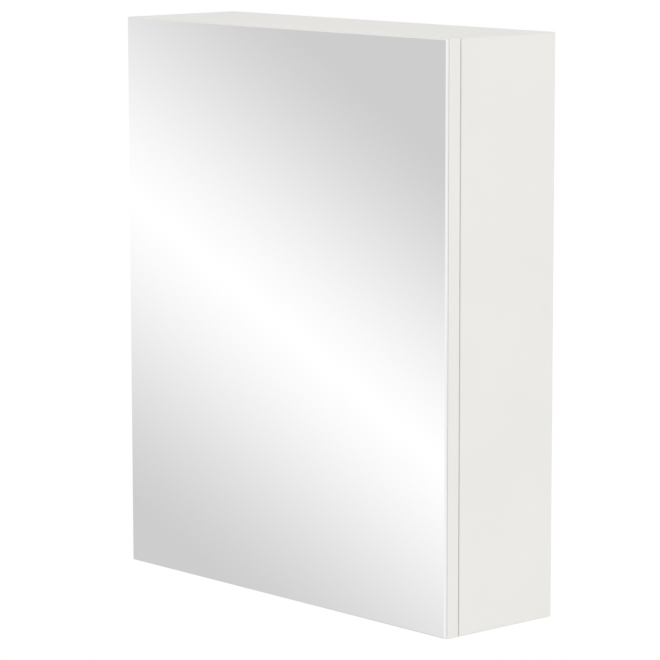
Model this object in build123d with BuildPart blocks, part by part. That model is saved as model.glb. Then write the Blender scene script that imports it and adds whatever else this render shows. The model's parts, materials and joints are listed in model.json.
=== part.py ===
from build123d import *
import os
from math import acos, atan2, degrees, sqrt

# Bathroom mirror cabinet, wall hung, one mirror door on two concealed cup hinges.
# Millimetres. X to the viewer's right, +Y back to the wall, Z up, the mirror facing -Y.
# The origin is at the bottom centre of the cabinet's outer box.

os.makedirs("parts", exist_ok=True)

# Overall size
width = 500
height = 600
depth = 150

# Door: a silvered mirror on thin foam tape on an edged board
mirror_thickness = 3
mirror_arris = 1.2
mirror_reveal = 0.5
tape_thickness = 0.4
tape_width = 25
tape_count = 4
tape_margin = 8
door_board_thickness = 15
door_gap = 1.2
bumper_radius = 4
bumper_clearance = 0.2
bumper_end_distance = 40

# Carcass boards and their edge bands
board = 16
band = 0.8
band_round = 0.4
bottom_raise = 18

# Back panel in grooves, with a recess behind it for the hangers
back_thickness = 3
rear_recess = 13
groove_depth = 6
groove_clearance = 0.1
groove_end_clearance = 0.5
notch_margin = 3

# Dowels and cam fittings that join the boards
dowel_radius = 4
dowel_length = 30
dowel_in_side = 11
dowel_spacing = 64
dowel_chamfer = 0.8
joint_clearance = 0.05
hole_end_clearance = 0.5
cam_radius = 7.5
cam_height = 12.2
cam_distance = 24
cam_clearance = 0.1
cam_slot_width = 7.6
cam_slot_length = 7
cam_cap_radius = 8.5
cam_cap_height = 1.2
bolt_thread_radius = 2.5
bolt_thread_length = 11
bolt_collar_radius = 3.4
bolt_collar_height = 1.5
bolt_shank_radius = 3
bolt_neck_radius = 2
bolt_neck_length = 3
bolt_head_radius = 3.4
bolt_head_length = 2.4
bolt_reach = 22.4
bolt_passage_radius = 4

# Shelves on pegs in rows of holes
shelf_thickness = 5
shelf_side_gap = 1.5
shelf_front_setback = 10
shelf_rear_gap = 2
shelf_corner_radius = 5
shelf_arris = 0.5
hole_pitch = 32
hole_radius = 2.5
hole_depth = 9
first_hole_z = 146
lower_shelf_hole_count = 2
upper_shelf_hole_count = 8
spare_hole_count = 1
front_hole_inset = 37
rear_hole_inset = 30
peg_length = 8
peg_collar_radius = 4
peg_collar_height = 1.2
peg_stub_length = 7.5
sleeve_radius = 3.8

# Hinge heights, the cup and its place in the door
hinge_end_distance = 100
cup_centre = 20.5
cup_radius = 17.4
cup_clearance = 0.1
cup_depth = 11.8
cup_floor = 1
cup_wall = 1.2
bore_depth = 12
flange_thickness = 0.8
flange_radius = 19.5
flange_edge_inset = 3
flange_screw_spacing = 48
flange_screw_offset = 6
flange_wing_radius = 7.5
cheek_length = 8

# Hinge pivots with the door shut, each measured inward from the cabinet's outer face
# and back from the carcass front. The outer link turns on A and C, the inner on B and D.
pivot_a = (38.0, 9.0)
pivot_b = (26.0, 5.5)
pivot_c = (12.2, -3.4)
pivot_d = (9.9, -6.0)
outer_link_bends = [(33.5, 3.0), (26.5, 0.2), (19.5, -4.3)]
inner_link_bends = [(25.0, -2.0), (21.0, -8.2), (15.5, -9.9)]
pin_radius = 1
pin_clearance = 0.05
pin_head_radius = 1.9
pin_head_height = 0.6
pin_reach = 9
eye_radius = 2.1
link_width = 3
link_bend_radius = 2.5
inner_link_half = 4.2
link_side_gap = 0.4
outer_link_plate = 1.6
link_web = 1.4
link_web_start = 3.4
# The linkage is opened at pivot D: the inner link's eye there has this play and shift
open_eye_play = 0.8
open_eye_wall = 0.9
open_eye_shift = (-0.62, 0.42)

# Closing spring: a strip bent round the arm's front pin, between the arm's roof and the
# round eye of the inner link
spring_thickness = 0.6
spring_half = 3.8
spring_pin_gap = 0.1
spring_seat_gap = 0.25
spring_overhang = 1.2
spring_roof_reach = 3.5

# Hinge arm and its mounting plate
arm_wall = 1.4
arm_top = 31.5
arm_underside = 20.5
arm_end = 60
arm_shoulder = 30
arm_web_start = 15.5
arm_nose = 3.2
plate_wing_thickness = 2.5
plate_wing_radius = 6
plate_screw_inset = 37
plate_screw_spacing = 32
plate_front = 24
plate_end = 58
plate_side_gap = 1
fixing_screw_inset = 52
adjusting_screw_inset = 36

# Screws
euro_screw_radius = 2.45
euro_screw_length = 13.5
euro_head_radius = 4
wood_screw_radius = 1.6
wood_screw_length = 10
wood_head_radius = 3.2
wood_head_height = 1.6
machine_screw_radius = 1.9
machine_screw_length = 10
machine_head_radius = 3.4
machine_head_height = 1.8
screw_hole_clearance = 0.05
recess_length = 3.6
recess_width = 0.9
recess_depth = 0.8

# Hangers in the upper rear corners, and the wall plates that they hook over
hanger_width = 17
hanger_depth = 36
hanger_height = 56
hanger_top_gap = 3
hanger_corner = 2
hanger_screw_drop = 12
hanger_screw_spacing = 32
hanger_base = 2.5
hook_thickness = 2.5
hook_width = 12
hook_clearance = 0.15
hook_overlap = 6
hook_drop = 6
hook_grip = 24
wall_plate_thickness = 2
wall_plate_width = 36
wall_plate_height = 52
wall_plate_lip = 9
wall_plate_offset = 7
wall_plate_hole_radius = 3
wall_plate_hole_spacing = 25
wall_plate_inset = 20
adjusting_screw_drop = 21
adjusting_screw_spacing = 14

# Places worked out from the sizes above
sides = {"left": -1, "right": 1}
half_width = width / 2
inner_half_width = half_width - board
mirror_face_y = -depth / 2
door_front_y = mirror_face_y + mirror_thickness + tape_thickness
door_back_y = door_front_y + door_board_thickness
front_y = door_back_y + door_gap
rear_y = depth / 2
panel_front_y = front_y + band
panel_depth = rear_y - panel_front_y
panel_mid_y = (rear_y + panel_front_y) / 2
back_rear_y = rear_y - rear_recess
back_front_y = back_rear_y - back_thickness
back_mid_y = (back_rear_y + back_front_y) / 2
floor_z = bottom_raise + board
ceiling_z = height - board
joint_y = (front_y + back_front_y) / 2
joint_heights = [bottom_raise + board / 2, ceiling_z + board / 2]
dowel_ys = [joint_y - dowel_spacing / 2, joint_y + dowel_spacing / 2]
front_hole_y = front_y + front_hole_inset
rear_hole_y = back_front_y - rear_hole_inset
shelf_hole_counts = {"lower": lower_shelf_hole_count, "upper": upper_shelf_hole_count}
hinge_heights = {"lower": hinge_end_distance, "upper": height - hinge_end_distance}
outer_link_inside = inner_link_half + link_side_gap
outer_link_outside = outer_link_inside + outer_link_plate
arm_inside = outer_link_outside + link_side_gap
arm_outside = arm_inside + arm_wall
roof_front = (pivot_a[0] + 1, arm_web_start)
roof_back = (arm_top, arm_shoulder)
hanger_rear_y = back_front_y - groove_clearance
hanger_front_y = hanger_rear_y - hanger_depth
hanger_mid_y = (hanger_rear_y + hanger_front_y) / 2
hanger_top_z = ceiling_z - hanger_top_gap
hanger_mid_z = hanger_top_z - hanger_height / 2
hanger_screw_heights = [hanger_top_z - hanger_screw_drop - offset for offset in (0, hanger_screw_spacing)]
hanger_mid_x = inner_half_width - hanger_width / 2


def inner_face(side):
    """Side panel's inner face: first axis +Y, normal out of the cabinet."""
    return Plane(origin=(side * inner_half_width, 0, 0), x_dir=(0, 1, 0), z_dir=(side, 0, 0))


def on_face(side, y, z):
    """A point of an inner_face plane, whose second axis points down on the left."""
    return (y, side * z)


def front_plane(y):
    """Upright plane facing the viewer, at a given Y."""
    return Plane.XZ.offset(-y)


def hinge_plane(z):
    """Level plane through a hinge, in the coordinates of the pivots."""
    return Plane(origin=(-half_width, front_y, z), x_dir=(1, 0, 0), z_dir=(0, 0, 1))


def cup_plane(z):
    """The door board's rear face at a hinge cup's axis, its normal into the board."""
    return Plane(origin=(cup_centre - half_width, door_back_y, z), x_dir=(1, 0, 0), z_dir=(0, -1, 0))


def into_cabinet(x, y, z):
    """Plane facing inward from the left side, its first axis +Y."""
    return Plane(origin=(x, y, z), x_dir=(0, 1, 0), z_dir=(1, 0, 0))


def moved(point, dx, dy):
    return (point[0] + dx, point[1] + dy)


def beside(start, end, distance, shift):
    """The point at a distance from start towards end, moved to the line's left."""
    span = sqrt((end[0] - start[0]) ** 2 + (end[1] - start[1]) ** 2)
    ux = (end[0] - start[0]) / span
    uy = (end[1] - start[1]) / span
    return (start[0] + ux * distance - uy * shift, start[1] + uy * distance + ux * shift)


def tangent_angle(centre, radius, point, side):
    """Angle in degrees, about the centre, of the tangent point of a line from the given point."""
    dx = point[0] - centre[0]
    dy = point[1] - centre[1]
    return degrees(atan2(dy, dx) + side * acos(radius / sqrt(dx ** 2 + dy ** 2))) % 360


def save(piece, name):
    piece.label = name
    export_step(piece, f"parts/{name}.step")


# Screws: the head's seat at the origin, the tip down -Z, a cross recess on top
def make_screw(shank_radius, shank_length, head_radius, head_height):
    with BuildPart() as screw:
        with BuildSketch(Plane.XZ):
            with BuildLine():
                if head_height > 0:
                    Polyline((0, head_height), (head_radius * 0.7, head_height),
                             (head_radius, head_height * 0.5), (head_radius, 0), (shank_radius, 0))
                    top = head_height
                else:
                    Polyline((0, 0), (head_radius, 0), (shank_radius, shank_radius - head_radius))
                    top = 0
                start = (shank_radius, 0) if head_height > 0 else (shank_radius, shank_radius - head_radius)
                Polyline(start, (shank_radius, shank_radius - shank_length), (0, -shank_length), (0, top))
            make_face()
        revolve(axis=Axis.Z)
        with BuildSketch(Plane.XY.offset(top)):
            Rectangle(recess_length, recess_width)
            Rectangle(recess_width, recess_length)
        extrude(amount=-recess_depth, mode=Mode.SUBTRACT)
    return screw.part


# Side panels
def make_side_panel(name, side):
    face = inner_face(side)
    groove_height = ceiling_z - floor_z + 2 * groove_depth
    peg_heights = [
        first_hole_z + hole_pitch * (count + spare)
        for count in shelf_hole_counts.values()
        for spare in range(-spare_hole_count, spare_hole_count + 1)
    ]
    plate_heights = [
        z + side * plate_screw_spacing / 2 for z in hinge_heights.values() for side in (-1, 1)
    ]
    drillings = [
        (hole_radius, hole_depth, [(y, z) for z in peg_heights for y in (front_hole_y, rear_hole_y)]),
        (dowel_radius + joint_clearance, dowel_in_side + hole_end_clearance,
         [(y, z) for z in joint_heights for y in dowel_ys]),
        (bolt_thread_radius + joint_clearance, bolt_thread_length + hole_end_clearance,
         [(joint_y, z) for z in joint_heights]),
        (wood_screw_radius + screw_hole_clearance, wood_screw_length + hole_end_clearance,
         [(hanger_mid_y, z) for z in hanger_screw_heights]),
    ]
    if name == "left":
        plate_hole_depth = euro_screw_length - plate_wing_thickness + hole_end_clearance
        drillings.append((euro_screw_radius + screw_hole_clearance, plate_hole_depth,
                          [(front_y + plate_screw_inset, z) for z in plate_heights]))
    with BuildPart() as side_panel:
        with BuildSketch(face):
            with Locations(on_face(side, panel_mid_y, height / 2)):
                Rectangle(panel_depth, height - 2 * band)
        extrude(amount=board)
        with BuildSketch(face):
            with Locations(on_face(side, back_mid_y, (floor_z + ceiling_z) / 2)):
                Rectangle(back_thickness + 2 * groove_clearance, groove_height)
        extrude(amount=groove_depth, mode=Mode.SUBTRACT)
        for radius, hole_length, places in drillings:
            with BuildSketch(face):
                with Locations(*[on_face(side, y, z) for y, z in places]):
                    Circle(radius)
            extrude(amount=hole_length, mode=Mode.SUBTRACT)
    save(side_panel.part, f"side_panel_{name}")


for side_name, side_sign in sides.items():
    make_side_panel(side_name, side_sign)


# Top and bottom panels, between the sides, each with a groove that faces the interior
def make_cross_panel(name, underside_z, groove_z, groove_direction):
    mid_z = underside_z + board / 2
    drillings = [
        (dowel_radius + joint_clearance, dowel_length - dowel_in_side + hole_end_clearance,
         [(y, mid_z) for y in dowel_ys]),
        (bolt_passage_radius, cam_distance, [(joint_y, mid_z)]),
    ]
    with BuildPart() as cross_panel:
        with BuildSketch(Plane.XY.offset(underside_z)):
            with Locations((0, panel_mid_y)):
                Rectangle(2 * inner_half_width, panel_depth)
        extrude(amount=board)
        with BuildSketch(Plane.XY.offset(groove_z)):
            with Locations((0, back_mid_y)):
                Rectangle(2 * inner_half_width, back_thickness + 2 * groove_clearance)
        extrude(amount=groove_direction * groove_depth, mode=Mode.SUBTRACT)
        with BuildSketch(Plane.XY.offset(underside_z)):
            with Locations(*[(side * (inner_half_width - cam_distance), joint_y) for side in sides.values()]):
                Circle(cam_radius + cam_clearance)
        extrude(amount=cam_height + hole_end_clearance, mode=Mode.SUBTRACT)
        for side in sides.values():
            for radius, hole_length, places in drillings:
                with BuildSketch(inner_face(side)):
                    with Locations(*[on_face(side, y, z) for y, z in places]):
                        Circle(radius)
                extrude(amount=-hole_length, mode=Mode.SUBTRACT)
    save(cross_panel.part, name)


make_cross_panel("top_panel", ceiling_z, ceiling_z, 1)
make_cross_panel("bottom_panel", bottom_raise, floor_z, -1)

# Edge bands of the carcass
side_mid_x = half_width - board / 2
with BuildPart() as side_front_bands:
    with BuildSketch(front_plane(front_y)):
        with Locations((-side_mid_x, height / 2), (side_mid_x, height / 2)):
            Rectangle(board, height)
    extrude(amount=-band)
    fillet(side_front_bands.edges().filter_by(Axis.Z).group_by(Axis.Y)[0], band_round)
side_front_bands.part.label = "side_front_bands"
export_step(side_front_bands.part, "parts/side_front_bands.step")

with BuildPart() as side_end_bands:
    with BuildSketch(Plane.XY, Plane.XY.offset(height - band)):
        with Locations((-side_mid_x, panel_mid_y), (side_mid_x, panel_mid_y)):
            Rectangle(board, panel_depth)
    extrude(amount=band)
    fillet(side_end_bands.edges().filter_by(Axis.Y).group_by(Axis.Z)[0], band_round)
    fillet(side_end_bands.edges().filter_by(Axis.Y).group_by(Axis.Z)[-1], band_round)
side_end_bands.part.label = "side_end_bands"
export_step(side_end_bands.part, "parts/side_end_bands.step")

with BuildPart() as cross_front_bands:
    with BuildSketch(front_plane(front_y)):
        with Locations(*[(0, z) for z in joint_heights]):
            Rectangle(2 * inner_half_width, board)
    extrude(amount=-band)
    fillet(cross_front_bands.edges().filter_by(Axis.X).group_by(Axis.Y)[0], band_round)
cross_front_bands.part.label = "cross_front_bands"
export_step(cross_front_bands.part, "parts/cross_front_bands.step")

# Back panel, notched at its upper corners for the hangers
groove_reach = groove_depth - groove_end_clearance
notch_width = hanger_width + notch_margin + groove_depth
notch_height = hanger_top_gap + hanger_height + notch_margin + groove_depth
notch_x = inner_half_width + groove_depth - notch_width / 2
notch_z = ceiling_z + groove_depth - notch_height / 2
with BuildPart() as back_panel:
    with BuildSketch(front_plane(back_front_y)):
        with Locations((0, (floor_z + ceiling_z) / 2)):
            Rectangle(2 * (inner_half_width + groove_reach), ceiling_z - floor_z + 2 * groove_reach)
        with Locations((-notch_x, notch_z), (notch_x, notch_z)):
            Rectangle(notch_width, notch_height, mode=Mode.SUBTRACT)
    extrude(amount=-back_thickness)
back_panel.part.label = "back_panel"
export_step(back_panel.part, "parts/back_panel.step")

# Dowels
with BuildPart() as dowel:
    Cylinder(dowel_radius, dowel_length, align=(Align.CENTER, Align.CENTER, Align.MIN))
    chamfer(dowel.edges(), dowel_chamfer)

with BuildPart() as dowels:
    with Locations(*[
        Plane(origin=(side * (inner_half_width + dowel_in_side), y, z), z_dir=(-side, 0, 0))
        for side in sides.values() for y in dowel_ys for z in joint_heights
    ]):
        add(dowel.part)
dowels.part.label = "dowels"
export_step(dowels.part, "parts/dowels.step")

# Cam bolts: threaded into the side, the head held by the cam
neck_end = bolt_reach - bolt_head_length
neck_start = neck_end - bolt_neck_length
with BuildPart() as cam_bolt:
    with BuildSketch(Plane.XZ):
        with BuildLine():
            Polyline((0, -bolt_thread_length), (bolt_thread_radius - 1, -bolt_thread_length),
                     (bolt_thread_radius, 1 - bolt_thread_length), (bolt_thread_radius, 0),
                     (bolt_collar_radius, 0), (bolt_collar_radius, bolt_collar_height),
                     (bolt_shank_radius, bolt_collar_height), (bolt_shank_radius, neck_start),
                     (bolt_neck_radius, neck_start), (bolt_neck_radius, neck_end),
                     (bolt_head_radius, neck_end), (bolt_head_radius, bolt_reach),
                     (0, bolt_reach), close=True)
        make_face()
    revolve(axis=Axis.Z)

with BuildPart() as cam_bolts:
    with Locations(*[
        Plane(origin=(side * inner_half_width, joint_y, z), z_dir=(-side, 0, 0))
        for side in sides.values() for z in joint_heights
    ]):
        add(cam_bolt.part)
cam_bolts.part.label = "cam_bolts"
export_step(cam_bolts.part, "parts/cam_bolts.step")

# Cam locks: a slot towards the bolt, a driver recess below, and a cap over each
cam_places = [
    Plane(origin=(side * (inner_half_width - cam_distance), joint_y, z - board / 2),
          x_dir=(side, 0, 0), z_dir=(0, 0, 1))
    for side in sides.values() for z in joint_heights
]
with BuildPart() as cam_lock:
    Cylinder(cam_radius, cam_height, align=(Align.CENTER, Align.CENTER, Align.MIN))
    with Locations((cam_radius - cam_slot_length / 2, 0, board / 2)):
        Box(cam_slot_length, cam_slot_width, cam_slot_width, mode=Mode.SUBTRACT)
    with BuildSketch(Plane.XY):
        Rectangle(2 * recess_length, 2 * recess_width)
        Rectangle(2 * recess_width, 2 * recess_length)
    extrude(amount=2 * recess_depth, mode=Mode.SUBTRACT)

with BuildPart() as cam_locks:
    with Locations(*cam_places):
        add(cam_lock.part)
cam_locks.part.label = "cam_locks"
export_step(cam_locks.part, "parts/cam_locks.step")

with BuildPart() as cam_cap:
    Cylinder(cam_cap_radius, cam_cap_height, align=(Align.CENTER, Align.CENTER, Align.MAX))
    chamfer(cam_cap.faces().sort_by(Axis.Z)[0].edges(), cam_cap_height / 3)

with BuildPart() as cam_caps:
    with Locations(*cam_places):
        add(cam_cap.part)
cam_caps.part.label = "cam_caps"
export_step(cam_caps.part, "parts/cam_caps.step")

# Shelf pegs: pressed into the hole rows, each with a clear sleeve under the glass
with BuildPart() as peg:
    with BuildSketch(Plane.XZ):
        with BuildLine():
            peg_radius = hole_radius - joint_clearance
            Polyline((0, -peg_length), (peg_radius - 0.5, -peg_length), (peg_radius, 0.5 - peg_length),
                     (peg_radius, 0), (peg_collar_radius, 0), (peg_collar_radius, peg_collar_height),
                     (peg_radius, peg_collar_height), (peg_radius, peg_collar_height + peg_stub_length),
                     (0, peg_collar_height + peg_stub_length), close=True)
        make_face()
    revolve(axis=Axis.Z)

with BuildPart() as sleeve:
    with BuildSketch(Plane.XY.offset(peg_collar_height)):
        Circle(sleeve_radius)
        Circle(hole_radius, mode=Mode.SUBTRACT)
    extrude(amount=peg_stub_length)

# Glass shelves, lying on the sleeves
shelf_front_y = front_y + shelf_front_setback
shelf_rear_y = back_front_y - shelf_rear_gap
for level, count in shelf_hole_counts.items():
    peg_z = first_hole_z + hole_pitch * count
    peg_places = [
        Plane(origin=(side * inner_half_width, y, peg_z), z_dir=(-side, 0, 0))
        for side in sides.values() for y in (front_hole_y, rear_hole_y)
    ]
    with BuildPart() as shelf_pegs:
        with Locations(*peg_places):
            add(peg.part)
    save(shelf_pegs.part, f"shelf_pegs_{level}")

    with BuildPart() as shelf_sleeves:
        with Locations(*peg_places):
            add(sleeve.part)
    save(shelf_sleeves.part, f"shelf_sleeves_{level}")

    with BuildPart() as shelf:
        with BuildSketch(Plane.XY.offset(peg_z + sleeve_radius)):
            with Locations((0, (shelf_front_y + shelf_rear_y) / 2)):
                RectangleRounded(2 * (inner_half_width - shelf_side_gap), shelf_rear_y - shelf_front_y,
                                 shelf_corner_radius)
        extrude(amount=shelf_thickness)
        chamfer(shelf.faces().sort_by(Axis.Z)[0].edges(), shelf_arris)
        chamfer(shelf.faces().sort_by(Axis.Z)[-1].edges(), shelf_arris)
    save(shelf.part, f"shelf_{level}")

# Door board with the cup bores and screw pilot holes
cup_x = cup_centre - half_width
flange_screw_places = [
    (cup_x + flange_screw_offset, z + offset)
    for z in hinge_heights.values() for offset in (-flange_screw_spacing / 2, flange_screw_spacing / 2)
]
with BuildPart() as door_board:
    with BuildSketch(front_plane(door_front_y)):
        with Locations((0, height / 2)):
            Rectangle(width - 2 * band, height - 2 * band)
    extrude(amount=-door_board_thickness)
    with BuildSketch(front_plane(door_back_y)):
        with Locations(*[(cup_x, z) for z in hinge_heights.values()]):
            Circle(cup_radius + cup_clearance)
    extrude(amount=bore_depth, mode=Mode.SUBTRACT)
    with BuildSketch(front_plane(door_back_y)):
        with Locations(*flange_screw_places):
            Circle(wood_screw_radius + screw_hole_clearance)
    extrude(amount=wood_screw_length + hole_end_clearance, mode=Mode.SUBTRACT)
door_board.part.label = "door_board"
export_step(door_board.part, "parts/door_board.step")

# Edge bands of the door: long ones up the sides, short ones between them
with BuildPart() as door_side_bands:
    with BuildSketch(front_plane(door_front_y)):
        with Locations(*[(side * (half_width - band / 2), height / 2) for side in sides.values()]):
            Rectangle(band, height)
    extrude(amount=-door_board_thickness)
    fillet(door_side_bands.edges().filter_by(Axis.Z).group_by(Axis.X)[0], band_round)
    fillet(door_side_bands.edges().filter_by(Axis.Z).group_by(Axis.X)[-1], band_round)
door_side_bands.part.label = "door_side_bands"
export_step(door_side_bands.part, "parts/door_side_bands.step")

with BuildPart() as door_end_bands:
    with BuildSketch(front_plane(door_front_y)):
        with Locations((0, band / 2), (0, height - band / 2)):
            Rectangle(width - 2 * band, band)
    extrude(amount=-door_board_thickness)
    fillet(door_end_bands.edges().filter_by(Axis.X).group_by(Axis.Z)[0], band_round)
    fillet(door_end_bands.edges().filter_by(Axis.X).group_by(Axis.Z)[-1], band_round)
door_end_bands.part.label = "door_end_bands"
export_step(door_end_bands.part, "parts/door_end_bands.step")

# Mirror with a ground and polished arris round its face
with BuildPart() as mirror_glass:
    with BuildSketch(front_plane(mirror_face_y)):
        with Locations((0, height / 2)):
            Rectangle(width - 2 * mirror_reveal, height - 2 * mirror_reveal)
    extrude(amount=-mirror_thickness)
    chamfer(mirror_glass.faces().sort_by(Axis.Y)[0].edges(), mirror_arris)
mirror_glass.part.label = "mirror_glass"
export_step(mirror_glass.part, "parts/mirror_glass.step")

# Foam tape in upright strips between the mirror and the board
tape_span = width - 2 * tape_margin - tape_width
with BuildPart() as mirror_tape:
    with BuildSketch(front_plane(mirror_face_y + mirror_thickness)):
        with Locations((0, height / 2)):
            with GridLocations(tape_span / (tape_count - 1), 1, tape_count, 1):
                Rectangle(tape_width, height - 2 * tape_margin)
    extrude(amount=-tape_thickness)
mirror_tape.part.label = "mirror_tape"
export_step(mirror_tape.part, "parts/mirror_tape.step")

# Bumpers at the door's free corners, which meet the right side's front edge
bumper_height = door_gap - bumper_clearance
with BuildPart() as door_bumpers:
    with BuildSketch(front_plane(door_back_y)):
        with Locations((side_mid_x, bumper_end_distance), (side_mid_x, height - bumper_end_distance)):
            Circle(bumper_radius)
    extrude(amount=-bumper_height)
    fillet(door_bumpers.faces().sort_by(Axis.Y)[-2:].edges(), bumper_height / 3)
door_bumpers.part.label = "door_bumpers"
export_step(door_bumpers.part, "parts/door_bumpers.step")


# Hinge cup: a pressed cup with a winged flange, open inside, cheeks beside the links
def make_hinge_cup(where, z):
    face = cup_plane(z)
    cavity_radius = cup_radius - cup_wall
    cavity_half_length = sqrt(cavity_radius ** 2 - arm_inside ** 2)
    wing_screws = [(flange_screw_offset, side * flange_screw_spacing / 2) for side in (-1, 1)]
    with BuildPart() as hinge_cup:
        with BuildSketch(face):
            Circle(cup_radius)
        extrude(amount=cup_depth)
        with BuildSketch(face):
            with Locations(*wing_screws):
                Circle(flange_wing_radius)
            make_hull()
            Circle(flange_radius)
            with Locations((-cup_centre + flange_edge_inset, 0)):
                Rectangle(cup_centre, 4 * flange_radius, align=(Align.MAX, Align.CENTER), mode=Mode.SUBTRACT)
        extrude(amount=-flange_thickness)
        with BuildSketch(face.offset(-flange_thickness)):
            Circle(cavity_radius)
            with Locations((cheek_length - cavity_half_length, 0)):
                Rectangle(cup_radius, 4 * cup_radius, align=(Align.MAX, Align.CENTER), mode=Mode.SUBTRACT)
            Rectangle(2 * cavity_half_length, 2 * arm_inside)
        extrude(amount=flange_thickness + cup_depth - cup_floor, mode=Mode.SUBTRACT)
        with BuildSketch(hinge_plane(z)):
            with Locations(pivot_c, pivot_d):
                Circle(pin_radius + pin_clearance)
        extrude(amount=pin_reach, both=True, mode=Mode.SUBTRACT)
        with BuildSketch(face):
            with Locations(*wing_screws):
                Circle(wood_screw_radius + screw_hole_clearance)
        extrude(amount=-flange_thickness, mode=Mode.SUBTRACT)
    save(hinge_cup.part, f"hinge_cup_{where}")


# Cup pins: D runs right across, C is a short rivet in each cheek
def make_hinge_cup_pins(where, z):
    with BuildPart() as hinge_cup_pins:
        with BuildSketch(hinge_plane(z)):
            with Locations(pivot_d):
                Circle(pin_radius)
        extrude(amount=pin_reach - pin_clearance, both=True)
        with BuildSketch(hinge_plane(z).offset(outer_link_inside)):
            with Locations(pivot_c):
                Circle(pin_radius)
        extrude(amount=pin_reach - pin_clearance - outer_link_inside)
        mirror(about=hinge_plane(z))
    save(hinge_cup_pins.part, f"hinge_cup_pins_{where}")


# Outer link: two plates joined by a web along the side that faces the cup
def make_hinge_outer_link(where, z):
    middle = hinge_plane(z)
    web_shift = (link_width - link_web) / 2
    first, second = outer_link_bends[0], outer_link_bends[1]
    web_points = [
        beside(pivot_a, first, link_web_start, web_shift),
        beside(first, second, web_shift / 2, web_shift),
        beside(first, second, 5.5, web_shift),
    ]
    with BuildPart() as hinge_outer_link:
        with BuildSketch(middle.offset(outer_link_inside)):
            with BuildLine():
                FilletPolyline(pivot_a, *outer_link_bends, pivot_c, radius=link_bend_radius)
            trace(line_width=link_width)
            with Locations(pivot_a, pivot_c):
                Circle(eye_radius)
            with Locations(pivot_a, pivot_c):
                Circle(pin_radius + pin_clearance, mode=Mode.SUBTRACT)
        extrude(amount=outer_link_plate)
        mirror(about=middle)
        with BuildSketch(middle):
            with BuildLine():
                Polyline(*web_points)
            trace(line_width=link_web)
        extrude(amount=outer_link_outside, both=True)
    save(hinge_outer_link.part, f"hinge_outer_link_{where}")


# Inner link: a cast hook that reaches under the door's edge, its eye at D with play
def make_hinge_inner_link(where, z):
    open_eye = moved(pivot_d, *open_eye_shift)
    open_eye_radius = pin_radius + open_eye_play
    with BuildPart() as hinge_inner_link:
        with BuildSketch(hinge_plane(z)):
            with BuildLine():
                FilletPolyline(pivot_b, *inner_link_bends, open_eye, radius=link_bend_radius)
            trace(line_width=link_width)
            with Locations(pivot_b):
                Circle(eye_radius)
            with Locations(open_eye):
                Circle(open_eye_radius + open_eye_wall)
            with Locations(pivot_b):
                Circle(pin_radius + pin_clearance, mode=Mode.SUBTRACT)
            with Locations(open_eye):
                Circle(open_eye_radius, mode=Mode.SUBTRACT)
        extrude(amount=inner_link_half, both=True)
    save(hinge_inner_link.part, f"hinge_inner_link_{where}")


# Hinge arm: a channel over the mounting plate, open at its nose for the two links
def make_hinge_arm(where, z):
    middle = hinge_plane(z)
    outline = [
        moved(pivot_b, -arm_nose, -1.5),
        moved(pivot_b, 0.5, -arm_nose),
        moved(pivot_a, 1.5, -arm_nose),
        moved(pivot_a, arm_nose, 0),
        roof_front,
        roof_back,
        (arm_top, arm_end),
        (arm_underside, arm_end),
        (arm_underside, arm_web_start),
    ]
    hollow = [
        (arm_underside - arm_wall, arm_end + arm_wall),
        (arm_top - arm_wall, arm_end + arm_wall),
        moved(roof_back, -arm_wall, 0),
        moved(roof_front, -arm_wall, 0),
        moved(roof_front, 4 * arm_wall, 0),
        moved(roof_front, 4 * arm_wall, -2 * arm_web_start),
        (arm_underside - arm_wall, -arm_web_start),
    ]
    with BuildPart() as hinge_arm:
        with BuildSketch(middle):
            Polygon(*outline, align=None)
        extrude(amount=arm_outside, both=True)
        fillet(hinge_arm.edges().filter_by(Axis.Z), 1.2)
        with BuildSketch(middle):
            Polygon(*hollow, align=None)
        extrude(amount=arm_inside, both=True, mode=Mode.SUBTRACT)
        with BuildSketch(middle):
            with Locations(pivot_a, pivot_b):
                Circle(pin_radius + pin_clearance)
        extrude(amount=arm_outside, both=True, mode=Mode.SUBTRACT)
        with BuildSketch(into_cabinet(arm_top - half_width, front_y, z)):
            with Locations((adjusting_screw_inset, 0)):
                Circle(machine_screw_radius + screw_hole_clearance)
            with Locations((fixing_screw_inset, 0)):
                Circle(machine_screw_radius + screw_hole_clearance)
            with Locations(((fixing_screw_inset + arm_end) / 2, 0)):
                Rectangle(arm_end - fixing_screw_inset, 2 * (machine_screw_radius + screw_hole_clearance))
        extrude(amount=-arm_wall, mode=Mode.SUBTRACT)
    save(hinge_arm.part, f"hinge_arm_{where}")


# Arm pins with rivet heads outside the arm's walls
def make_hinge_arm_pins(where, z):
    middle = hinge_plane(z)
    with BuildPart() as hinge_arm_pins:
        with BuildSketch(middle):
            with Locations(pivot_a, pivot_b):
                Circle(pin_radius)
        extrude(amount=arm_outside + pin_head_height, both=True)
        with BuildSketch(middle.offset(arm_outside)):
            with Locations(pivot_a, pivot_b):
                Circle(pin_head_radius)
        extrude(amount=pin_head_height, taper=25)
        mirror(about=middle)
    save(hinge_arm_pins.part, f"hinge_arm_pins_{where}")


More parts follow.
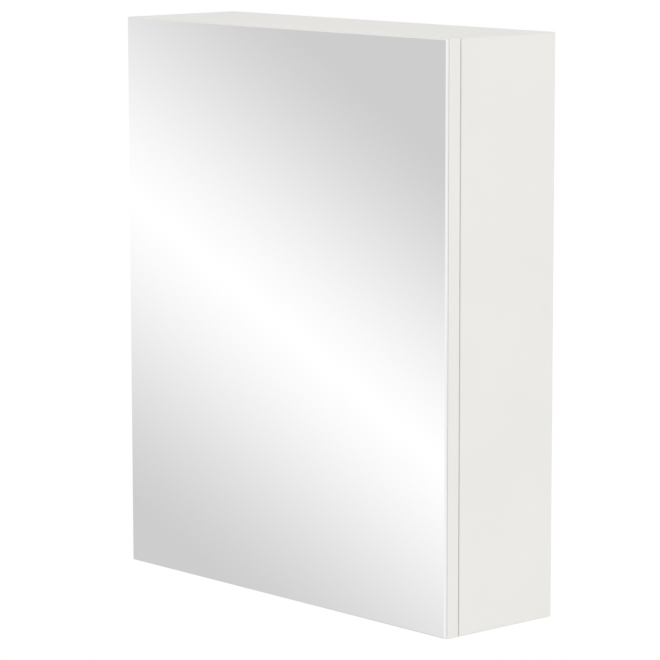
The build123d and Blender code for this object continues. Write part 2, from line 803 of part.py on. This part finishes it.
# Closing spring: one leg lies along the roof, the other on the inner link's eye
def make_hinge_spring(where, z):
    bend_radius = pin_radius + spring_pin_gap + spring_thickness / 2
    eye_leg_end = moved(pivot_b, -spring_overhang, eye_radius + spring_seat_gap + spring_thickness / 2)
    roof_leg_end = beside(moved(roof_front, -arm_wall, 0), moved(roof_back, -arm_wall, 0),
                          spring_roof_reach, spring_seat_gap + spring_thickness / 2)
    eye_angle = tangent_angle(pivot_a, bend_radius, eye_leg_end, 1)
    roof_angle = tangent_angle(pivot_a, bend_radius, roof_leg_end, -1)
    with BuildPart() as hinge_spring:
        with BuildSketch(hinge_plane(z)):
            with BuildLine():
                bend = CenterArc(pivot_a, bend_radius, eye_angle, (roof_angle - eye_angle) % 360)
                Line(eye_leg_end, bend @ 0)
                Line(bend @ 1, roof_leg_end)
            trace(line_width=spring_thickness)
        extrude(amount=spring_half, both=True)
    save(hinge_spring.part, f"hinge_spring_{where}")


# Mounting plate: two wings on the side panel and a ridge that carries the arm
def make_hinge_plate(where, z):
    face = into_cabinet(board - half_width, front_y, z)
    ridge_half = arm_inside - plate_side_gap
    ridge_height = arm_top - arm_wall - board
    wing_screws = [(plate_screw_inset, side * plate_screw_spacing / 2) for side in (-1, 1)]
    with BuildPart() as hinge_plate:
        with BuildSketch(face):
            with Locations(*wing_screws):
                Circle(plate_wing_radius)
            make_hull()
            with Locations(((plate_front + plate_end) / 2, 0)):
                RectangleRounded(plate_end - plate_front, 2 * ridge_half, 1.5)
        extrude(amount=plate_wing_thickness)
        with BuildSketch(face):
            with Locations(((plate_front + plate_end) / 2, 0)):
                RectangleRounded(plate_end - plate_front, 2 * ridge_half, 1.5)
        extrude(amount=ridge_height)
        with Locations(face.offset(plate_wing_thickness)):
            with Locations(*wing_screws):
                CounterSinkHole(euro_screw_radius + screw_hole_clearance,
                                euro_head_radius + screw_hole_clearance,
                                depth=plate_wing_thickness, counter_sink_angle=90)
        with BuildSketch(face.offset(ridge_height)):
            with Locations((adjusting_screw_inset, 0), (fixing_screw_inset, 0)):
                Circle(machine_screw_radius + screw_hole_clearance)
        extrude(amount=-machine_screw_length, mode=Mode.SUBTRACT)
    save(hinge_plate.part, f"hinge_plate_{where}")


euro_screw = make_screw(euro_screw_radius, euro_screw_length, euro_head_radius, 0)
wood_screw = make_screw(wood_screw_radius, wood_screw_length, wood_head_radius, wood_head_height)
machine_screw = make_screw(machine_screw_radius, machine_screw_length, machine_head_radius,
                           machine_head_height)


def make_hinge_screws(where, z):
    plate_x = board + plate_wing_thickness - half_width
    with BuildPart() as hinge_plate_screws:
        with Locations(*[
            into_cabinet(plate_x, front_y + plate_screw_inset, z + side * plate_screw_spacing / 2)
            for side in (-1, 1)
        ]):
            add(euro_screw)
    save(hinge_plate_screws.part, f"hinge_plate_screws_{where}")

    with BuildPart() as hinge_arm_screws:
        with Locations(*[
            into_cabinet(arm_top - half_width, front_y + inset, z)
            for inset in (adjusting_screw_inset, fixing_screw_inset)
        ]):
            add(machine_screw)
    save(hinge_arm_screws.part, f"hinge_arm_screws_{where}")

    with BuildPart() as hinge_cup_screws:
        with Locations(*[
            Plane(origin=(cup_x + flange_screw_offset, door_back_y + flange_thickness,
                          z + side * flange_screw_spacing / 2), z_dir=(0, 1, 0))
            for side in (-1, 1)
        ]):
            add(wood_screw)
    save(hinge_cup_screws.part, f"hinge_cup_screws_{where}")


for hinge_name, hinge_z in hinge_heights.items():
    make_hinge_cup(hinge_name, hinge_z)
    make_hinge_cup_pins(hinge_name, hinge_z)
    make_hinge_outer_link(hinge_name, hinge_z)
    make_hinge_inner_link(hinge_name, hinge_z)
    make_hinge_arm(hinge_name, hinge_z)
    make_hinge_arm_pins(hinge_name, hinge_z)
    make_hinge_spring(hinge_name, hinge_z)
    make_hinge_plate(hinge_name, hinge_z)
    make_hinge_screws(hinge_name, hinge_z)


# Hangers: a moulded housing, a steel hook through the back's notch, and its wall plate
hook_z = hanger_top_z - hook_drop
lip_top_z = hook_z - hook_thickness / 2
ledge_z = lip_top_z - wall_plate_lip
plate_mid_z = ledge_z - wall_plate_height / 2
plate_web_y = rear_y - wall_plate_thickness / 2
lip_y = plate_web_y - wall_plate_offset
tongue_y = lip_y + (wall_plate_thickness + hook_thickness) / 2 + hook_clearance
adjusting_heights = [hanger_top_z - adjusting_screw_drop - offset for offset in (0, adjusting_screw_spacing)]


def upright_plane(x):
    """Plane at a given X, in Y and Z."""
    return Plane(origin=(x, 0, 0), x_dir=(0, 1, 0), z_dir=(1, 0, 0))


for side_name, side_sign in sides.items():
    housing_x = side_sign * hanger_mid_x
    screw_face = Plane(origin=(side_sign * (inner_half_width - hanger_base), 0, 0), x_dir=(0, 1, 0),
                       z_dir=(-side_sign, 0, 0))
    screw_places = [(hanger_mid_y, -side_sign * z) for z in hanger_screw_heights]
    with BuildPart() as hanger_housing:
        with BuildSketch(upright_plane(housing_x)):
            with Locations((hanger_mid_y, hanger_mid_z)):
                RectangleRounded(hanger_depth, hanger_height, hanger_corner)
        extrude(amount=hanger_width / 2, both=True)
        fillet(hanger_housing.faces().sort_by(Axis.Y)[0].edges().filter_by(Axis.Z), hanger_corner)
        with BuildSketch(upright_plane(housing_x)):
            with Locations((hanger_rear_y, hook_z)):
                Rectangle(2 * (hook_grip + hook_clearance), hook_thickness + 2 * hook_clearance)
        extrude(amount=hook_width / 2 + hook_clearance, both=True, mode=Mode.SUBTRACT)
        with BuildSketch(screw_face):
            with Locations(*screw_places):
                Circle(wood_head_radius + hook_clearance)
        extrude(amount=hanger_width, mode=Mode.SUBTRACT)
        with BuildSketch(screw_face):
            with Locations(*screw_places):
                Circle(wood_screw_radius + screw_hole_clearance)
        extrude(amount=-hanger_base, mode=Mode.SUBTRACT)
        with BuildSketch(front_plane(hanger_front_y)):
            with Locations(*[(housing_x, z) for z in adjusting_heights]):
                Circle(machine_screw_radius + screw_hole_clearance)
        extrude(amount=-machine_screw_length - hole_end_clearance, mode=Mode.SUBTRACT)
    save(hanger_housing.part, f"hanger_housing_{side_name}")

    with BuildPart() as hanger_hook:
        with BuildSketch(upright_plane(housing_x)):
            with BuildLine():
                FilletPolyline((hanger_rear_y - hook_grip, hook_z), (tongue_y, hook_z),
                               (tongue_y, lip_top_z - hook_overlap),
                               radius=hook_thickness / 2 + hook_clearance)
            trace(line_width=hook_thickness)
        extrude(amount=hook_width / 2, both=True)
    save(hanger_hook.part, f"hanger_hook_{side_name}")

    plate_x = side_sign * (inner_half_width - wall_plate_inset)
    with BuildPart() as wall_plate:
        with BuildSketch(upright_plane(plate_x)):
            with BuildLine():
                FilletPolyline((plate_web_y, ledge_z - wall_plate_height), (plate_web_y, ledge_z),
                               (lip_y, ledge_z), (lip_y, lip_top_z), radius=wall_plate_thickness)
            trace(line_width=wall_plate_thickness)
        extrude(amount=wall_plate_width / 2, both=True)
        with BuildSketch(front_plane(rear_y)):
            with Locations(*[
                (plate_x, plate_mid_z + side * wall_plate_hole_spacing / 2) for side in (-1, 1)
            ]):
                Circle(wall_plate_hole_radius)
        extrude(amount=wall_plate_thickness, mode=Mode.SUBTRACT)
    save(wall_plate.part, f"wall_plate_{side_name}")

with BuildPart() as hanger_fixing_screws:
    with Locations(*[
        Plane(origin=(side * (inner_half_width - hanger_base), hanger_mid_y, z), z_dir=(-side, 0, 0))
        for side in sides.values() for z in hanger_screw_heights
    ]):
        add(wood_screw)
hanger_fixing_screws.part.label = "hanger_fixing_screws"
export_step(hanger_fixing_screws.part, "parts/hanger_fixing_screws.step")

with BuildPart() as hanger_adjusting_screws:
    with Locations(*[
        Plane(origin=(side * hanger_mid_x, hanger_front_y, z), z_dir=(0, -1, 0))
        for side in sides.values() for z in adjusting_heights
    ]):
        add(machine_screw)
hanger_adjusting_screws.part.label = "hanger_adjusting_screws"
export_step(hanger_adjusting_screws.part, "parts/hanger_adjusting_screws.step")
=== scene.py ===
import json
from math import cos, radians, sin

import bpy
from mathutils import Matrix, Vector


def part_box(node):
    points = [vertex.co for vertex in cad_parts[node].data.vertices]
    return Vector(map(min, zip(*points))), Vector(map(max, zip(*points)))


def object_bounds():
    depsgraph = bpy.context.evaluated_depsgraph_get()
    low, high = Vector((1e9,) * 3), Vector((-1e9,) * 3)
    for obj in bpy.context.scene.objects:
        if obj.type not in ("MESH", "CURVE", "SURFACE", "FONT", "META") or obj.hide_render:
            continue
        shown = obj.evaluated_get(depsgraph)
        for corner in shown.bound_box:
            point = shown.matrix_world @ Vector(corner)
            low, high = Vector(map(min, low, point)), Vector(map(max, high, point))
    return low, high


# Looks of the bathroom mirror cabinet, in metres, in the CAD model's frame:
# X to the viewer's right, +Y back to the wall, Z up, the mirror facing -Y.

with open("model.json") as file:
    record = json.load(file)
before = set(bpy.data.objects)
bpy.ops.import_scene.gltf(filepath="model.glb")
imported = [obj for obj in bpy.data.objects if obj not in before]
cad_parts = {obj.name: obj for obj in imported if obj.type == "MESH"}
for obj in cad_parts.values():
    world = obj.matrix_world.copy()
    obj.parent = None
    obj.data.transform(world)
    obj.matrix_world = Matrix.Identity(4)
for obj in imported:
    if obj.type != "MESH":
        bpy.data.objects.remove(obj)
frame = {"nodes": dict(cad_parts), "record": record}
cad_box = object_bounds()

# The photograph's camera, found from the cabinet's corners
view_azimuth = radians(48.17)
view_elevation = radians(8.62)
view_roll = radians(-0.09)
view_distance = 3.684
view_sideways = -0.0594
view_height = 0.267
focal_length_mm = 185.6
sensor_width_mm = 36

# Light: a surround that is a little brighter overhead than underneath, and two large soft lamps
surround_strength = 0.86
surround_lift = 0.10
lamp_size = (2.0, 2.0)
lamp_target = (0, 0, 0.3)
key_place = (3.2, -2.2, 1.6)
key_power = 22
fill_place = (-2.6, -2.8, 1.8)
fill_power = 16

# Floor: a pale round one well below the cabinet, which hangs on a wall. It turns white to the
# camera between two shares of its radius.
floor_drop = 1.2
floor_radius = 5.0
floor_fade_start = 0.3
floor_fade_end = 0.6

# The mirror's reflection of the studio, as shares of the mirror's width and height:
# a bright band runs down to the right between greys, and fades partly straight, partly eased
band_left_height = 0.68
band_right_height = 0.293
band_half_width = 0.569
band_ease = 0.4
studio_grey = 0.627
studio_white = 1.03

# Extra light in the reflected studio: overhead, between two heights of the ray, and on the
# camera's side, between two cosines of the angle to the camera
overhead_glow = 0.22
overhead_start = 0.3
overhead_end = 0.8
viewer_glow = 0.30
viewer_start = 0.5
viewer_end = 0.9

# Colours, linear
laminate_white = (0.849, 0.833, 0.804)
inside_white = (0.84, 0.82, 0.795)
plastic_white = (0.80, 0.80, 0.78)
glass_green = (0.89, 0.96, 0.935)
ground_edge = (0.85, 0.88, 0.865)
floor_pale = (0.9, 0.9, 0.89)
silver = (0.97, 0.975, 0.97)
nickel = (0.72, 0.70, 0.67)
zinc_grey = (0.62, 0.62, 0.61)
zinc_blue = (0.66, 0.69, 0.72)
beech = (0.62, 0.42, 0.24)
foam_white = (0.78, 0.78, 0.76)
rubber_clear = (0.80, 0.82, 0.82)

# Mirror: the outward Y of a surface's direction tells the face from the arris, and the arris
# from the ground edge
face_limits = (-0.995, -0.95)
edge_limits = (-0.6, -0.3)
arris_roughness = 0.12
edge_roughness = 0.35


def colour(rgb):
    return (*rgb, 1.0)


class Finish:
    """A material made of nodes: its shader's sockets are set here, and maps are added to them."""

    def __init__(self, name, base, roughness, metallic=0.0, **sockets):
        self.material = bpy.data.materials.new(name)
        self.material.use_nodes = True
        self.nodes = self.material.node_tree.nodes
        self.links = self.material.node_tree.links
        self.shader = self.nodes["Principled BSDF"]
        self.shader.inputs["Base Color"].default_value = colour(base)
        self.shader.inputs["Roughness"].default_value = roughness
        self.shader.inputs["Metallic"].default_value = metallic
        for socket, value in sockets.items():
            self.shader.inputs[socket.replace("_", " ")].default_value = value
        self.coordinates = self.nodes.new("ShaderNodeTexCoord")

    def noise(self, scale, detail=2.0, stretch=(1, 1, 1)):
        """A noise map in the object's own space, scale in cycles per metre."""
        mapping = self.nodes.new("ShaderNodeMapping")
        mapping.inputs["Scale"].default_value = stretch
        self.links.new(self.coordinates.outputs["Object"], mapping.inputs["Vector"])
        noise = self.nodes.new("ShaderNodeTexNoise")
        noise.inputs["Scale"].default_value = scale
        noise.inputs["Detail"].default_value = detail
        self.links.new(mapping.outputs["Vector"], noise.inputs["Vector"])
        return noise.outputs["Fac"]

    def ramp(self, factor, low, high, start=0.3, end=0.7):
        """Maps a factor from one value to another between two stops."""
        spread = self.nodes.new("ShaderNodeMapRange")
        spread.inputs["From Min"].default_value = start
        spread.inputs["From Max"].default_value = end
        spread.inputs["To Min"].default_value = low
        spread.inputs["To Max"].default_value = high
        self.links.new(factor, spread.inputs["Value"])
        return spread.outputs["Result"]

    def mix(self, factor, first, second):
        """A colour between two, by a factor from 0 to 1."""
        mixer = self.nodes.new("ShaderNodeMix")
        mixer.data_type = "RGBA"
        mixer.inputs[6].default_value = colour(first)
        mixer.inputs[7].default_value = colour(second)
        self.links.new(factor, mixer.inputs[0])
        return mixer.outputs[2]

    def put(self, output, socket):
        self.links.new(output, self.shader.inputs[socket])

    def mottle(self, first, second, scale, detail=2.0, stretch=(1, 1, 1)):
        """Base colour that wanders between two near colours."""
        self.put(self.mix(self.ramp(self.noise(scale, detail, stretch), 0, 1), first, second), "Base Color")

    def rough(self, low, high, scale, detail=2.0, stretch=(1, 1, 1)):
        """Roughness that wanders between two values."""
        self.put(self.ramp(self.noise(scale, detail, stretch), low, high), "Roughness")

    def relief(self, scale, depth, detail=2.0, stretch=(1, 1, 1), edge=0.0):
        """Fine relief of a given depth in metres, over edges softened to a radius."""
        bump = self.nodes.new("ShaderNodeBump")
        bump.inputs["Distance"].default_value = depth
        self.links.new(self.noise(scale, detail, stretch), bump.inputs["Height"])
        if edge > 0:
            bevel = self.nodes.new("ShaderNodeBevel")
            bevel.samples = 4
            bevel.inputs["Radius"].default_value = edge
            self.links.new(bevel.outputs["Normal"], bump.inputs["Normal"])
        self.put(bump.outputs["Normal"], "Normal")


def shade(rgb, factor):
    return tuple(channel * factor for channel in rgb)


def make_laminate(name, base):
    finish = Finish(name, base, 0.42, Specular_IOR_Level=0.4)
    finish.mottle(shade(base, 0.988), shade(base, 1.008), 9, 3)
    finish.rough(0.38, 0.47, 60, 3)
    finish.relief(1400, 0.00002, 2, edge=0.0004)
    return finish.material


def make_plastic(name, base, roughness):
    finish = Finish(name, base, roughness)
    finish.mottle(shade(base, 0.98), base, 40, 2)
    finish.rough(roughness - 0.06, roughness + 0.06, 300, 2)
    finish.relief(3000, 0.00002, 2, edge=0.0003)
    return finish.material


def make_metal(name, base, roughness, grain=(1, 1, 1)):
    finish = Finish(name, base, roughness, metallic=1.0)
    finish.mottle(shade(base, 0.93), shade(base, 1.05), 160, 4, grain)
    finish.rough(roughness - 0.07, roughness + 0.08, 420, 4, grain)
    finish.relief(900, 0.00001, 3, grain, edge=0.00025)
    return finish.material


def make_mirror(name):
    """Silvered glass: the face and the arris reflect, and the ground edge is pale and matt."""
    finish = Finish(name, silver, 0.0, metallic=1.0)
    facing = finish.nodes.new("ShaderNodeSeparateXYZ")
    finish.links.new(finish.coordinates.outputs["Normal"], facing.inputs["Vector"])
    off_face = finish.ramp(facing.outputs["Y"], 0, arris_roughness, *face_limits)
    on_edge = finish.ramp(facing.outputs["Y"], 0, 1, *edge_limits)
    grinding = finish.ramp(finish.noise(700, 3, (1, 8, 1)), 0.93, 1.02)
    ground = finish.nodes.new("ShaderNodeVectorMath")
    ground.operation = "SCALE"
    ground.inputs[0].default_value = ground_edge
    finish.links.new(grinding, ground.inputs["Scale"])
    mixer = finish.nodes.new("ShaderNodeMix")
    mixer.data_type = "RGBA"
    mixer.inputs[6].default_value = colour(silver)
    finish.links.new(on_edge, mixer.inputs[0])
    finish.links.new(ground.outputs["Vector"], mixer.inputs[7])
    finish.put(mixer.outputs[2], "Base Color")
    finish.put(finish.ramp(on_edge, 1, 0, start=0, end=1), "Metallic")
    roughness = finish.nodes.new("ShaderNodeMath")
    roughness.operation = "MULTIPLY_ADD"
    roughness.inputs[1].default_value = edge_roughness - arris_roughness
    finish.links.new(on_edge, roughness.inputs[0])
    finish.links.new(off_face, roughness.inputs[2])
    finish.put(roughness.outputs[0], "Roughness")
    return finish.material


def make_shelf_glass(name):
    finish = Finish(name, glass_green, 0.0, Transmission_Weight=1.0, IOR=1.52)
    finish.mottle(shade(glass_green, 0.985), glass_green, 6, 2)
    return finish.material


def make_wood(name):
    finish = Finish(name, beech, 0.6)
    finish.mottle(shade(beech, 0.8), shade(beech, 1.15), 90, 5, (1, 12, 12))
    finish.relief(400, 0.00008, 4, (1, 14, 14))
    return finish.material


def make_soft(name, base, roughness, transmission=0.0):
    finish = Finish(name, base, roughness, Transmission_Weight=transmission, IOR=1.42)
    finish.mottle(shade(base, 0.96), base, 200, 3)
    finish.relief(2500, 0.00004, 2)
    return finish.material


slot_finishes = {
    "white_board": make_laminate("white_laminate", laminate_white),
    "back_board": make_laminate("white_back_laminate", inside_white),
    "white_band": make_laminate("white_edge_band", laminate_white),
    "mirror": make_mirror("silvered_mirror"),
    "foam_tape": make_soft("foam_tape", foam_white, 0.9),
    "shelf_glass": make_shelf_glass("shelf_glass"),
    "dowel_wood": make_wood("beech_dowel"),
    "white_plastic": make_plastic("white_moulding", plastic_white, 0.5),
    "clear_rubber": make_soft("clear_rubber", rubber_clear, 0.3, transmission=0.7),
    "zinc": make_metal("nickel_plated_casting", zinc_grey, 0.34),
    "zinc_sheet": make_metal("zinc_plated_sheet", zinc_blue, 0.36),
    "nickel_steel": make_metal("nickel_plated_steel", nickel, 0.22),
}
for subpart in frame["record"]["subparts"]:
    for slot in frame["nodes"][subpart["node"]].material_slots:
        slot.material = slot_finishes[subpart["material_slot"]]

# Camera
back = Vector((
    sin(view_azimuth) * cos(view_elevation),
    -cos(view_azimuth) * cos(view_elevation),
    sin(view_elevation),
))
right = Vector((0, 0, 1)).cross(back).normalized()
up = back.cross(right)
depth = cad_box[1][1] - cad_box[0][1]
wall_centre = Vector((0, depth / 2, 0))
eye = wall_centre + back * view_distance + right * view_sideways + up * view_height
camera_data = bpy.data.cameras.new("camera")
camera_data.lens = focal_length_mm
camera_data.sensor_width = sensor_width_mm
camera_data.clip_end = 100
camera = bpy.data.objects.new("camera", camera_data)
turn = Matrix((right, up, back)).transposed() @ Matrix.Rotation(view_roll, 3, "Z")
camera.matrix_world = Matrix.Translation(eye) @ turn.to_4x4()
bpy.context.scene.collection.objects.link(camera)
bpy.context.scene.camera = camera


# World: white to the camera, an even surround for the light, and a studio for the reflections
def reflected(across, height):
    """Direction of the camera's ray after the mirror, from a point given as shares of its size."""
    low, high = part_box("mirror_glass")
    point = Vector((low[0] + across * (high[0] - low[0]), low[1], low[2] + height * (high[2] - low[2])))
    ray = (point - eye).normalized()
    return Vector((ray.x, -ray.y, ray.z))


band_start = reflected(0, band_left_height)
band_end = reflected(1, band_right_height)
band_normal = band_start.cross(band_end).normalized()
band_half_sine = abs(band_normal.dot(reflected(0, band_left_height - band_half_width)))

world = bpy.data.worlds.new("studio")
bpy.context.scene.world = world
world.use_nodes = True
nodes = world.node_tree.nodes
links = world.node_tree.links
nodes.clear()


def math_node(operation, first, second=None, clamp=False):
    node = nodes.new("ShaderNodeMath")
    node.operation = operation
    node.use_clamp = clamp
    for index, value in enumerate((first, second)):
        if value is None:
            continue
        if isinstance(value, (int, float)):
            node.inputs[index].default_value = value
        else:
            links.new(value, node.inputs[index])
    return node.outputs[0]


def background(strength):
    node = nodes.new("ShaderNodeBackground")
    node.inputs["Color"].default_value = (1, 1, 1, 1)
    if isinstance(strength, (int, float)):
        node.inputs["Strength"].default_value = strength
    else:
        links.new(strength, node.inputs["Strength"])
    return node.outputs[0]


direction = nodes.new("ShaderNodeTexCoord").outputs["Generated"]
across_band = nodes.new("ShaderNodeVectorMath")
across_band.operation = "DOT_PRODUCT"
across_band.inputs[1].default_value = band_normal
links.new(direction, across_band.inputs[0])
distance = math_node("ABSOLUTE", across_band.outputs["Value"])
share = math_node("SUBTRACT", 1.0, math_node("DIVIDE", distance, band_half_sine), clamp=True)
eased = nodes.new("ShaderNodeMapRange")
eased.interpolation_type = "SMOOTHSTEP"
links.new(share, eased.inputs["Value"])
straight_part = math_node("MULTIPLY", share, (1 - band_ease) * (studio_white - studio_grey))
eased_part = math_node("MULTIPLY", eased.outputs["Result"], band_ease * (studio_white - studio_grey))
band = math_node("ADD", math_node("ADD", straight_part, eased_part), studio_grey)

height_of = nodes.new("ShaderNodeSeparateXYZ")
links.new(direction, height_of.inputs["Vector"])
surround = math_node("ADD", math_node("MULTIPLY", height_of.outputs["Z"], surround_lift), surround_strength)


def glow(factor, start, end, strength):
    """Extra light in a part of the reflected studio."""
    node = nodes.new("ShaderNodeMapRange")
    node.interpolation_type = "SMOOTHSTEP"
    node.inputs["From Min"].default_value = start
    node.inputs["From Max"].default_value = end
    node.inputs["To Max"].default_value = strength
    links.new(factor, node.inputs["Value"])
    return node.outputs["Result"]


to_viewer = nodes.new("ShaderNodeVectorMath")
to_viewer.operation = "DOT_PRODUCT"
to_viewer.inputs[1].default_value = back
links.new(direction, to_viewer.inputs[0])
overhead = glow(height_of.outputs["Z"], overhead_start, overhead_end, overhead_glow)
beside_camera = glow(to_viewer.outputs["Value"], viewer_start, viewer_end, viewer_glow)
reflection = math_node("ADD", math_node("ADD", band, overhead), beside_camera)

rays = nodes.new("ShaderNodeLightPath")
lit = background(surround)
studio = background(reflection)
seen = background(1.0)
first_mix = nodes.new("ShaderNodeMixShader")
links.new(rays.outputs["Is Glossy Ray"], first_mix.inputs[0])
links.new(lit, first_mix.inputs[1])
links.new(studio, first_mix.inputs[2])
straight = math_node("MAXIMUM", rays.outputs["Is Camera Ray"], rays.outputs["Is Transmission Ray"])
second_mix = nodes.new("ShaderNodeMixShader")
links.new(straight, second_mix.inputs[0])
links.new(first_mix.outputs[0], second_mix.inputs[1])
links.new(seen, second_mix.inputs[2])
output = nodes.new("ShaderNodeOutputWorld")
links.new(second_mix.outputs[0], output.inputs["Surface"])


def make_floor():
    bpy.ops.mesh.primitive_circle_add(vertices=96, radius=floor_radius, fill_type="NGON",
                                      location=(0, 0, -floor_drop))
    floor = bpy.context.object
    floor.name = "floor"
    floor.visible_glossy = False
    finish = Finish("pale_floor", floor_pale, 0.8)
    finish.rough(0.75, 0.85, 3, 2)
    nodes, links = finish.nodes, finish.links
    spread = nodes.new("ShaderNodeVectorMath")
    spread.operation = "LENGTH"
    links.new(finish.coordinates.outputs["Object"], spread.inputs[0])
    far = finish.ramp(spread.outputs["Value"], 0, 1,
                      start=floor_fade_start * floor_radius, end=floor_fade_end * floor_radius)
    path = nodes.new("ShaderNodeLightPath")
    seen_far = nodes.new("ShaderNodeMath")
    seen_far.operation = "MULTIPLY"
    links.new(far, seen_far.inputs[0])
    links.new(path.outputs["Is Camera Ray"], seen_far.inputs[1])
    glow = nodes.new("ShaderNodeEmission")
    mixer = nodes.new("ShaderNodeMixShader")
    links.new(seen_far.outputs[0], mixer.inputs[0])
    links.new(finish.shader.outputs[0], mixer.inputs[1])
    links.new(glow.outputs[0], mixer.inputs[2])
    links.new(mixer.outputs[0], nodes["Material Output"].inputs["Surface"])
    floor.data.materials.append(finish.material)


make_floor()


def make_lamp(name, place, power):
    """A large soft lamp that polished surfaces don't show."""
    lamp = bpy.data.lights.new(name, "AREA")
    lamp.shape = "RECTANGLE"
    lamp.size, lamp.size_y = lamp_size
    lamp.energy = power
    holder = bpy.data.objects.new(name, lamp)
    holder.location = place
    holder.rotation_euler = (Vector(lamp_target) - Vector(place)).to_track_quat("-Z", "Y").to_euler()
    holder.visible_glossy = False
    bpy.context.scene.collection.objects.link(holder)


make_lamp("key_lamp", key_place, key_power)
make_lamp("fill_lamp", fill_place, fill_power)

bpy.context.scene.view_settings.view_transform = "Standard"
